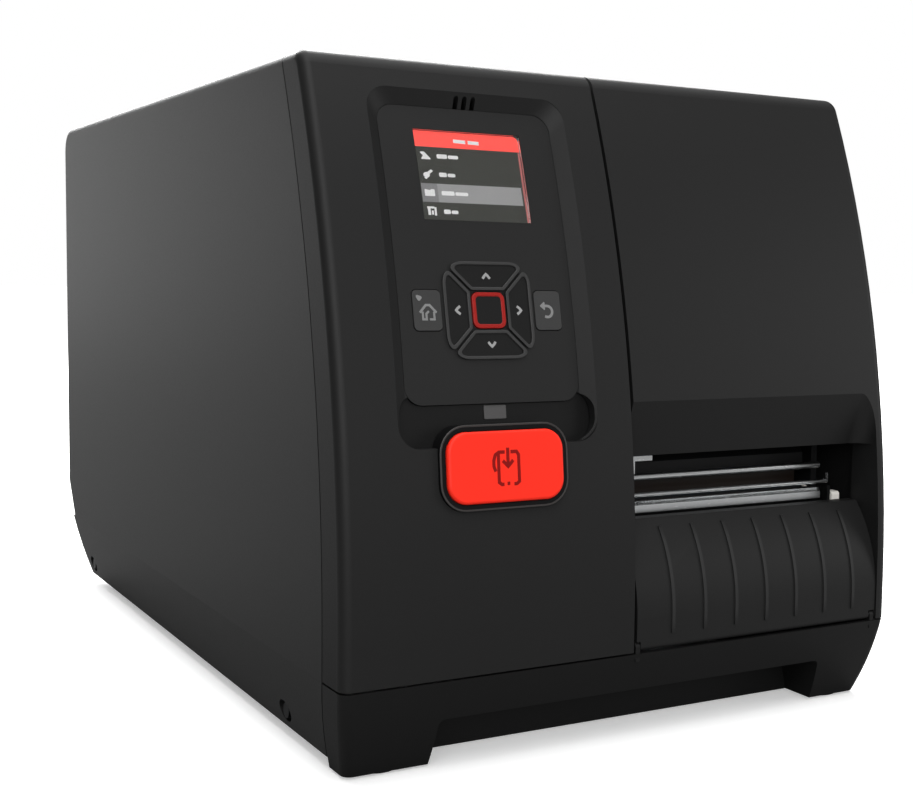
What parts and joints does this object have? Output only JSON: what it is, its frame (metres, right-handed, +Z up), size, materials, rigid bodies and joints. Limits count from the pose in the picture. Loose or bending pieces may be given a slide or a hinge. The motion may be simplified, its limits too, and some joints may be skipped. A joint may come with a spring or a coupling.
{
  "type": "label printer",
  "caption": "Desktop thermal label printer with a curved front, a tilted screen and keypad, a large print button, a fold-down front door and a side cover that swings up over the label bay.",
  "frame": {"origin": "on the table, under the middle of the housing's outline", "axes": "+X to the right seen from the front, -Y out of the front, +Z up"},
  "size_m": [0.284, 0.4843, 0.2991],
  "materials": {
    "cover_plastic": "satin fine-grain",
    "panel_plastic": "satin fine-grain",
    "control_film": "satin",
    "key_plastic": "satin",
    "key_light": "satin",
    "red_plastic": "satin gloss",
    "ring_plastic": "satin gloss",
    "screen_glass": "gloss",
    "window_smoke": "gloss tinted clear",
    "light_lens": "translucent",
    "foot_rubber": "matte",
    "roller_rubber": "matte ground",
    "zinc_steel": "zinc plated",
    "bright_steel": "ground",
    "cast_alloy": "as cast",
    "black_metal": "powder coat",
    "white_nylon": "natural",
    "inner_plastic": "satin",
    "gear_nylon": "natural",
    "board_green": "solder mask",
    "port_metal": "plated",
    "ceramic": "fired glaze",
    "blue_plastic": "satin"
  },
  "bodies": {
    "chassis": {"base_tray": "panel_plastic", "rubber_feet": "foot_rubber", "cover_screws": "black_metal", "side_cover": "cover_plastic", "front_panel": "panel_plastic", "hinge_pins": "bright_steel", "control_plate": "control_film", "display_window": "screen_glass", "display_module": "black_metal", "keypad_mat": "foot_rubber", "keypad_board": "board_green", "status_light": "light_lens", "button_ring": "ring_plastic", "print_switch": "inner_plastic", "rear_panel": "black_metal", "power_inlet": "inner_plastic", "inlet_pins": "bright_steel", "power_switch": "inner_plastic", "rear_ports": "port_metal", "centre_wall": "cast_alloy", "hinge_brackets": "zinc_steel", "print_frame": "black_metal", "tear_bar": "bright_steel", "latch_block": "white_nylon", "steel_rods": "bright_steel", "platen_bearings": "white_nylon", "drive_motor": "black_metal", "label_deck": "inner_plastic", "label_sensor": "inner_plastic", "spindle_clutches": "inner_plastic", "roll_hanger": "inner_plastic", "main_board": "board_green", "power_supply": "zinc_steel", "fasteners": "zinc_steel"},
    "media_cover": {"media_cover": "cover_plastic", "media_window": "window_smoke"},
    "front_door": {"front_door": "panel_plastic"},
    "key_up": {"key_up": "key_plastic"},
    "key_left": {"key_left": "key_plastic"},
    "key_down": {"key_down": "key_plastic"},
    "key_right": {"key_right": "key_plastic"},
    "key_select": {"key_select": "red_plastic"},
    "key_home": {"key_home": "key_light"},
    "key_back": {"key_back": "key_light"},
    "print_button": {"print_button": "red_plastic"},
    "power_rocker": {"power_rocker": "ring_plastic"},
    "platen": {"platen_roller": "roller_rubber", "platen_shaft": "bright_steel", "platen_gear": "gear_nylon"},
    "pinion": {"motor_pinion": "bright_steel"},
    "print_head": {"head_carriage": "black_metal", "thermal_head": "ceramic"},
    "head_lever": {"head_lever": "blue_plastic"},
    "supply_spindle": {"supply_spindle": "inner_plastic"},
    "takeup_spindle": {"takeup_spindle": "inner_plastic"},
    "guide_roller": {"guide_roller": "bright_steel"},
    "roll_guide": {"roll_guide": "blue_plastic"},
    "edge_guide": {"edge_guide": "blue_plastic"}
  },
  "joints": [
    {"name": "media_cover_hinge", "type": "hinge", "parent": "chassis", "child": "media_cover", "pos_m": [-0.0048, -0.0015, 0.2956], "axis": [0, -1, 0], "range_deg": [0, 105]},
    {"name": "front_door_hinge", "type": "hinge", "parent": "chassis", "child": "front_door", "pos_m": [0.065, -0.2389, 0.04345], "axis": [1, 0, 0], "range_deg": [0, 85]},
    {"name": "key_up_press", "type": "slide", "parent": "chassis", "child": "key_up", "axis": [0, 0.9761, -0.2173], "range_m": [0, 0.0006], "stiffness_N_per_m": 400, "springref_m": -0.002},
    {"name": "key_left_press", "type": "slide", "parent": "chassis", "child": "key_left", "axis": [0, 0.9761, -0.2173], "range_m": [0, 0.0006], "stiffness_N_per_m": 400, "springref_m": -0.002},
    {"name": "key_down_press", "type": "slide", "parent": "chassis", "child": "key_down", "axis": [0, 0.9761, -0.2173], "range_m": [0, 0.0006], "stiffness_N_per_m": 400, "springref_m": -0.002},
    {"name": "key_right_press", "type": "slide", "parent": "chassis", "child": "key_right", "axis": [0, 0.9761, -0.2173], "range_m": [0, 0.0006], "stiffness_N_per_m": 400, "springref_m": -0.002},
    {"name": "key_select_press", "type": "slide", "parent": "chassis", "child": "key_select", "axis": [0, 0.9761, -0.2173], "range_m": [0, 0.0006], "stiffness_N_per_m": 400, "springref_m": -0.002},
    {"name": "key_home_press", "type": "slide", "parent": "chassis", "child": "key_home", "axis": [0, 0.9761, -0.2173], "range_m": [0, 0.0006], "stiffness_N_per_m": 400, "springref_m": -0.002},
    {"name": "key_back_press", "type": "slide", "parent": "chassis", "child": "key_back", "axis": [0, 0.9761, -0.2173], "range_m": [0, 0.0006], "stiffness_N_per_m": 400, "springref_m": -0.002},
    {"name": "print_button_press", "type": "slide", "parent": "chassis", "child": "print_button", "axis": [0, 0.9941, -0.1089], "range_m": [0, 0.0015], "stiffness_N_per_m": 600, "springref_m": -0.002},
    {"name": "power_rocker_tilt", "type": "hinge", "parent": "chassis", "child": "power_rocker", "pos_m": [-0.1, 0.2321, 0.143], "axis": [-1, 0, 0], "range_deg": [0, 16]},
    {"name": "platen_spin", "type": "hinge", "parent": "chassis", "child": "platen", "pos_m": [0.06, -0.2015, 0.0955], "axis": [1, 0, 0], "continuous": true},
    {"name": "pinion_spin", "type": "hinge", "parent": "chassis", "child": "pinion", "pos_m": [-0.018, -0.17449, 0.0793], "axis": [1, 0, 0], "continuous": true},
    {"name": "print_head_lift", "type": "hinge", "parent": "chassis", "child": "print_head", "pos_m": [0.06, -0.1435, 0.12], "axis": [-1, 0, 0], "range_deg": [0, 14]},
    {"name": "head_lever_turn", "type": "hinge", "parent": "chassis", "child": "head_lever", "pos_m": [0.06, -0.1755, 0.142], "axis": [1, 0, 0], "range_deg": [0, 80]},
    {"name": "supply_spin", "type": "hinge", "parent": "chassis", "child": "supply_spindle", "pos_m": [0.05, -0.0565, 0.19], "axis": [1, 0, 0], "continuous": true},
    {"name": "takeup_spin", "type": "hinge", "parent": "chassis", "child": "takeup_spindle", "pos_m": [0.05, -0.1415, 0.215], "axis": [1, 0, 0], "continuous": true},
    {"name": "guide_roller_spin", "type": "hinge", "parent": "chassis", "child": "guide_roller", "pos_m": [0.06, -0.1235, 0.094], "axis": [1, 0, 0], "continuous": true},
    {"name": "roll_guide_slide", "type": "slide", "parent": "chassis", "child": "roll_guide", "axis": [1, 0, 0], "range_m": [-0.06, 0]},
    {"name": "edge_guide_slide", "type": "slide", "parent": "chassis", "child": "edge_guide", "axis": [1, 0, 0], "range_m": [-0.07, 0]}
  ],
  "couplings": [
    {"joint": "pinion_spin", "follows": "platen_spin", "ratio": -2},
    {"joint": "head_lever_turn", "follows": "print_head_lift", "ratio": 5.7143}
  ]
}
